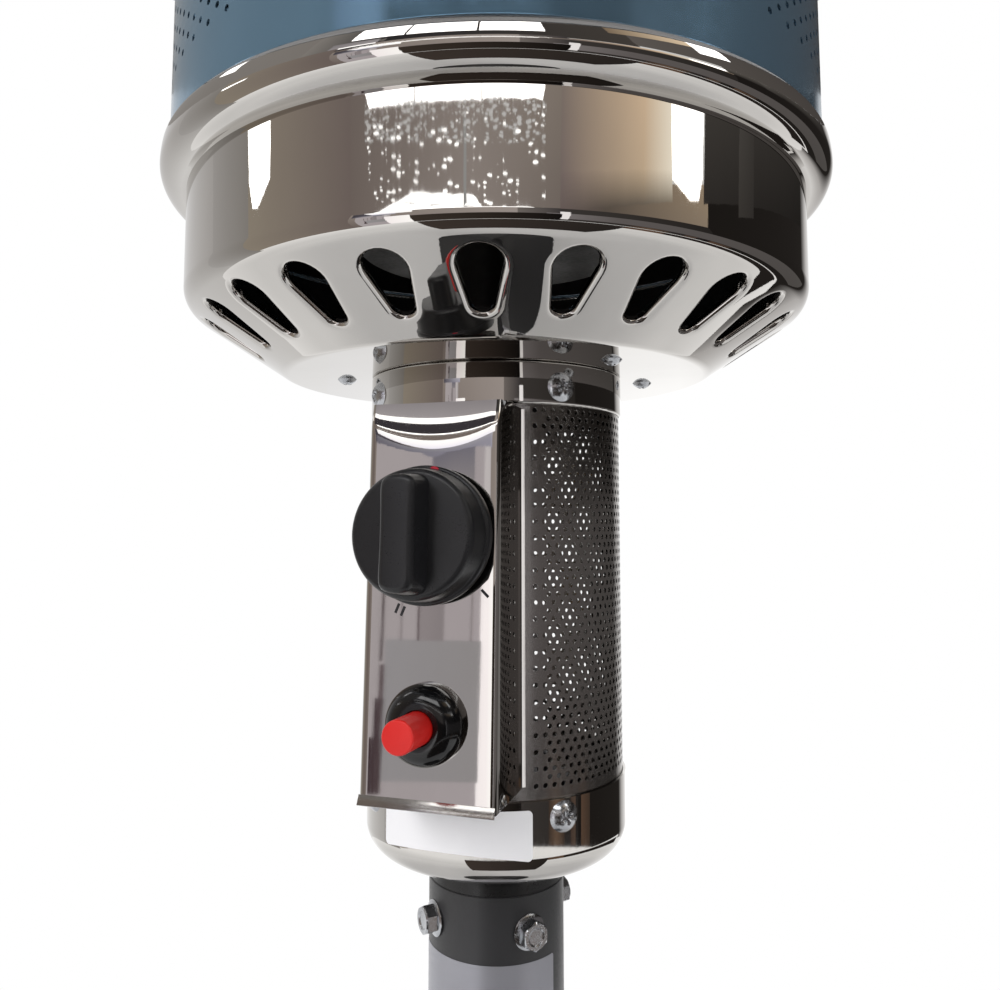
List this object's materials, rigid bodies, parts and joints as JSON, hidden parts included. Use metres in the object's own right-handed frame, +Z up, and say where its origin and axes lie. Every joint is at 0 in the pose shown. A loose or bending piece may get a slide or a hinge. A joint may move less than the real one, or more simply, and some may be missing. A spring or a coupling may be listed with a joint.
{
  "type": "patio heater",
  "caption": "Free-standing gas patio heater: round base, lift-up bottle housing, post, perforated shroud with knob and igniter, slotted burner cup, emitter and dish reflector.",
  "frame": {"origin": "middle of the base at floor level, on the post's axis", "axes": "+Z up along the post, control panel facing -Y, wheels at the back on +Y"},
  "size_m": [0.813, 0.813, 2.3012],
  "materials": {
    "black_paint": "satin powder coat",
    "polished_steel": "mirror polished stainless steel",
    "plain_steel": "satin",
    "filmed_steel": "steel under blue protective film",
    "reflector_aluminium": "bright",
    "brass": "machined",
    "cast_alloy": "as cast",
    "tube_aluminium": "drawn",
    "black_plastic": "satin",
    "gloss_black": "gloss",
    "red_plastic": "gloss",
    "white_ceramic": "glazed",
    "rubber": "matt"
  },
  "bodies": {
    "stand": {"base_pan": "black_paint", "foot_pads": "rubber", "wheel_bracket": "black_paint", "bracket_bolts": "plain_steel", "wheel_axle": "plain_steel", "leg_back": "black_paint", "leg_left": "black_paint", "leg_right": "black_paint", "leg_bolts": "plain_steel", "post_socket": "black_paint", "post": "black_paint", "post_bolts": "plain_steel", "head_spigot": "black_paint", "mounting_plate": "plain_steel", "tilt_switch": "black_plastic", "bell_cap": "polished_steel", "shroud": "black_paint", "upper_collar": "polished_steel", "control_panel": "polished_steel", "gas_valve": "cast_alloy", "gas_inlet": "brass", "igniter_bezel": "gloss_black", "igniter_body": "black_plastic", "igniter_ring_nut": "black_plastic", "button_spring": "plain_steel", "burner_cup": "polished_steel", "burner_foot": "plain_steel", "burner_throat": "plain_steel", "burner_head": "plain_steel", "injector": "brass", "gas_tube": "tube_aluminium", "pilot_bracket": "plain_steel", "thermocouple": "brass", "spark_electrode": "white_ceramic", "emitter_screen": "filmed_steel", "screen_stays": "plain_steel", "emitter_cap": "plain_steel", "reflector_studs": "plain_steel", "reflector": "reflector_aluminium", "wing_nuts": "plain_steel"},
    "housing": {"tank_housing": "black_paint", "housing_lid": "black_paint"},
    "valve_plug": {"valve_plug": "brass", "knob_spring": "plain_steel"},
    "knob": {"knob": "black_plastic", "valve_spindle": "brass"},
    "igniter_button": {"igniter_button": "red_plastic"},
    "wheel_left": {"wheel_left": "black_plastic"},
    "wheel_right": {"wheel_right": "black_plastic"}
  },
  "joints": [
    {"name": "housing_lift", "type": "slide", "parent": "stand", "child": "housing", "axis": [0, 0, 1], "range_m": [0, 0.59]},
    {"name": "knob_turn", "type": "hinge", "parent": "stand", "child": "valve_plug", "pos_m": [0, -0.07755, 1.765], "axis": [0, -0.9991, 0.0422], "range_deg": [0, 226]},
    {"name": "knob_push", "type": "slide", "parent": "valve_plug", "child": "knob", "axis": [0, 0.9991, -0.0422], "range_m": [0, 0.0035], "stiffness_N_per_m": 1500, "springref_m": -0.002, "deforming": ["knob_spring"]},
    {"name": "button_push", "type": "slide", "parent": "stand", "child": "igniter_button", "axis": [0, 0.9991, -0.0422], "range_m": [0, 0.007], "stiffness_N_per_m": 800, "springref_m": -0.003, "deforming": ["button_spring"]},
    {"name": "wheel_left_spin", "type": "hinge", "parent": "stand", "child": "wheel_left", "pos_m": [-0.04, 0.295, 0.044], "axis": [1, 0, 0], "continuous": true},
    {"name": "wheel_right_spin", "type": "hinge", "parent": "stand", "child": "wheel_right", "pos_m": [0.04, 0.295, 0.044], "axis": [1, 0, 0], "continuous": true}
  ]
}
